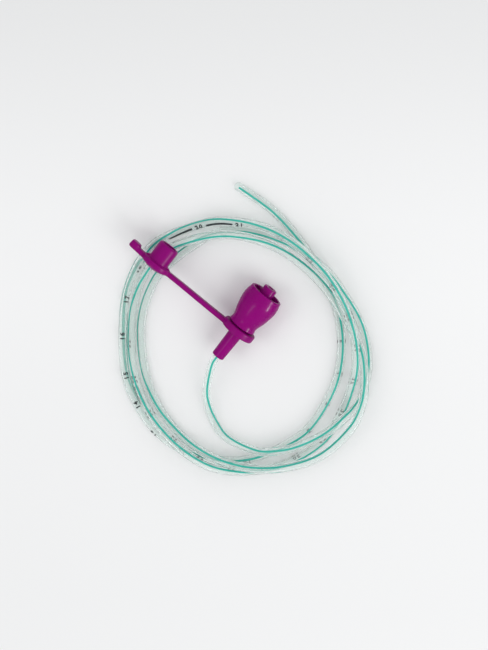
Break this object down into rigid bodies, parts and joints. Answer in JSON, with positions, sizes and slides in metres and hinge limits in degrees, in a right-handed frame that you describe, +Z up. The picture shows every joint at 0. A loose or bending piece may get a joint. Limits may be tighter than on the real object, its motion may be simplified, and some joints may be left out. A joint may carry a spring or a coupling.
{
  "type": "enteral feeding tube",
  "caption": "Loosely coiled thin clear tube bonded into a moulded connector hub with a collar round a central post, and a closure cap tethered to a ring that turns on the hub.",
  "frame": {"origin": "centre of the bottom of the box round the hub and its cap, on the surface that they lie on", "axes": "+Y along the hub towards its open mouth, -X along the cap's strap, +Z up from the surface"},
  "size_m": [0.0887, 0.079, 0.0134],
  "materials": {
    "hub_plastic": "moulded, smooth and slightly glossy",
    "cap_plastic": "softer moulding, satin gloss",
    "clear_tube": "clear extruded, with a fine teal line along it and small dark marks"
  },
  "bodies": {
    "root": {"connector_hub": "hub_plastic", "feeding_tube": "clear_tube"},
    "cap": {"tethered_cap": "cap_plastic"}
  },
  "joints": [
    {"name": "cap_ring_turn", "type": "hinge", "parent": "root", "child": "cap", "pos_m": [0.0182, -0.0028, 0.0058], "axis": [0, 1, 0], "range_deg": [0, 165]}
  ]
}
